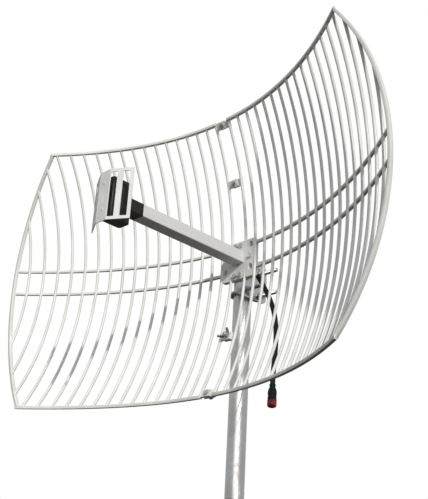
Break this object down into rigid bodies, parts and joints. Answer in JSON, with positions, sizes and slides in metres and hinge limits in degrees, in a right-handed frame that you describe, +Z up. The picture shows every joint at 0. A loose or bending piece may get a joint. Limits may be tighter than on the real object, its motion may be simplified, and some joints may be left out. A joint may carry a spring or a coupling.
{
  "type": "parabolic grid antenna",
  "caption": "Rectangular parabolic grid reflector of upright rods in two bolted halves, with a boom-mounted feed, a tilting bracket clamped to a short mast, and a capped coaxial lead.",
  "frame": {"origin": "centre of the mast's foot, on the cut end of the pipe", "axes": "+Z up along the mast; the dish looks along -Y; +X is the viewer's right from in front of the dish, on the cable's side"},
  "size_m": [1.0102, 0.4636, 0.7672],
  "materials": {
    "grid_coat": "off-white powder coat over die-cast aluminium",
    "boom_coat": "light grey painted aluminium tube",
    "feed_black": "black, lightly grained",
    "reflector_white": "white painted sheet",
    "circuit_board": "glass-fibre laminate",
    "dipole_copper": "bare copper strip",
    "galvanised": "zinc coated",
    "plated_fastener": "zinc plated",
    "jaw_cast": "bare die cast",
    "outlet_black": "moulded black plastic",
    "cable_jacket": "black PVC jacket",
    "connector_metal": "nickel plated",
    "sleeve_black": "black heat-shrink sleeve",
    "cap_red": "dark red soft plastic",
    "pin_gold": "gold plated"
  },
  "bodies": {
    "mast": {"mast_pipe": "galvanised"},
    "clamp": {"mast_jaws": "jaw_cast", "u_bolts": "plated_fastener", "u_bolt_washers": "plated_fastener", "u_bolt_nuts": "plated_fastener"},
    "antenna": {"left_edge_frame": "grid_coat", "left_grid_rods": "grid_coat", "left_ribs": "grid_coat", "left_hub_web": "grid_coat", "left_seam_lugs": "grid_coat", "right_edge_frame": "grid_coat", "right_grid_rods": "grid_coat", "right_ribs": "grid_coat", "right_hub_web": "grid_coat", "right_seam_lugs": "grid_coat", "seam_bolts": "plated_fastener", "seam_washers": "plated_fastener", "seam_nuts": "plated_fastener", "seam_wing_nut": "plated_fastener", "boom_root_screws": "plated_fastener", "sub_reflector_screws": "plated_fastener", "sub_reflector_spacers": "plated_fastener", "hub_bolts": "plated_fastener", "hub_washers": "plated_fastener", "hub_nuts": "plated_fastener", "boom_tube": "boom_coat", "boom_root_plug": "jaw_cast", "feed_neck": "feed_black", "feed_housing_rear": "feed_black", "feed_housing_front": "feed_black", "dipole_board": "circuit_board", "dipole_elements": "dipole_copper", "inner_coax": "cable_jacket", "sub_reflector": "reflector_white", "tilt_bracket": "galvanised", "cable_outlet": "outlet_black", "cable_gland": "outlet_black", "coax_cable": "cable_jacket", "connector_ferrule": "sleeve_black", "connector_sleeve": "sleeve_black", "connector_thread": "connector_metal", "connector_pin": "pin_gold"},
    "cap": {"dust_cap": "cap_red"}
  },
  "joints": [
    {"name": "azimuth", "type": "hinge", "parent": "mast", "child": "clamp", "pos_m": [0, 0, 0.4425], "axis": [0, 0, 1], "continuous": true},
    {"name": "tilt", "type": "hinge", "parent": "clamp", "child": "antenna", "pos_m": [0.027, 0, 0.4425], "axis": [-1, 0, 0], "range_deg": [-18, 18]},
    {"name": "cap_pull", "type": "slide", "parent": "antenna", "child": "cap", "axis": [-0.0091, -0.0091, -0.9999], "range_m": [0, 0.014]}
  ]
}
